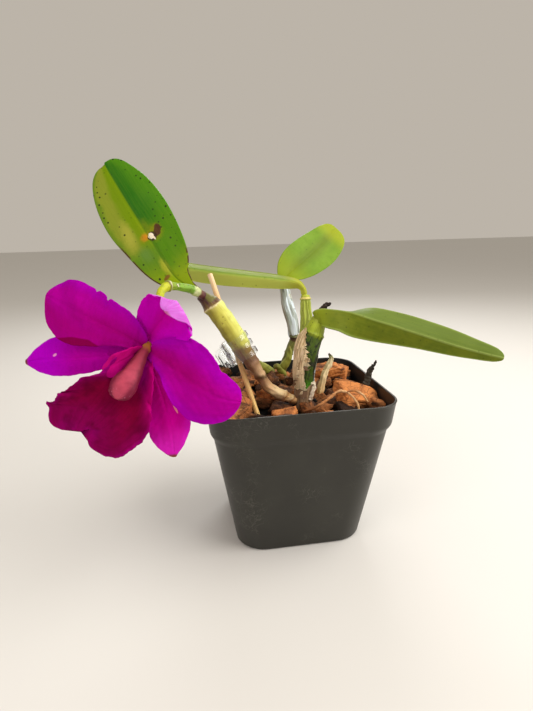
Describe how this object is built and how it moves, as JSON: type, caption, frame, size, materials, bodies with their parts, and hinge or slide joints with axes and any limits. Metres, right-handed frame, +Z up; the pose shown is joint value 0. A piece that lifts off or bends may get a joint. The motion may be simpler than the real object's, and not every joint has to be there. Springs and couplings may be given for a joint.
{
  "type": "cattleya orchid",
  "caption": "Potted cattleya orchid with one open magenta flower, strap leaves on canes, a bamboo stake and a small claw clip in a square nursery pot.",
  "frame": {"origin": "centre of the pot's underside, on the plane of the surface that the pot stands on", "axes": "+X to the right across the pot's front, +Y from front to back, +Z up; -Y is the side with the flower"},
  "size_m": [0.24, 0.1483, 0.2122],
  "materials": {
    "pot": "matt black moulded plastic, faintly scuffed",
    "bark": "rough dark brown fir bark",
    "bark_orange": "rough orange-brown fir bark",
    "stake": "smooth pale bamboo",
    "rhizome": "dry brown ringed stem",
    "cane_yellow": "waxy yellow-green stem with specks",
    "cane_green": "waxy dark green stem",
    "leaf_upper": "leathery satin green, spotted",
    "leaf_under": "leathery satin grey-green",
    "husk": "dry papery tan sheath",
    "husk_silver": "dry papery silver sheath",
    "dried": "shrivelled dark brown",
    "shoot": "waxy green root and bud",
    "root": "dry tan root",
    "stalk": "waxy yellow-green flower stalk",
    "column": "satin salmon pink",
    "lip": "velvety crimson-purple",
    "petal": "soft magenta petal",
    "clip": "clear glossy plastic",
    "clip_spring": "pale glossy spring"
  },
  "bodies": {
    "plant": {"pot": "pot", "bark_bed": "bark", "bark_chip_right": "bark_orange", "bark_chip_front": "bark_orange", "bark_chip_left": "bark", "bark_chip_back": "bark_orange", "stake": "stake", "rhizome": "rhizome", "cane_a": "cane_yellow", "cane_b": "cane_green", "cane_c": "cane_yellow", "cane_d": "rhizome", "leaf_a": "leaf_upper", "leaf_b": "leaf_under", "leaf_c": "leaf_under", "leaf_d": "leaf_upper", "husk_b": "husk", "husk_b_shard": "husk", "husk_d": "husk_silver", "dried_spathe": "dried", "old_stub": "husk", "green_shoot": "shoot", "surface_root": "root", "dead_roots": "dried", "flower_stalk": "stalk", "column": "column", "lip": "lip", "petal_left": "petal", "petal_right": "petal", "sepal_left": "petal", "sepal_right": "petal", "sepal_dorsal": "petal", "clip_pin": "clip", "clip_spring": "clip_spring", "clip_jaw_rear": "clip"},
    "clip_jaw": {"clip_jaw_front": "clip"}
  },
  "joints": [
    {"name": "clip_hinge", "type": "hinge", "parent": "plant", "child": "clip_jaw", "pos_m": [-0.0366, -0.0076, 0.1077], "axis": [0.4883, -0.1308, -0.8628], "range_deg": [0, 30], "stiffness_Nm_per_rad": 0.02}
  ]
}
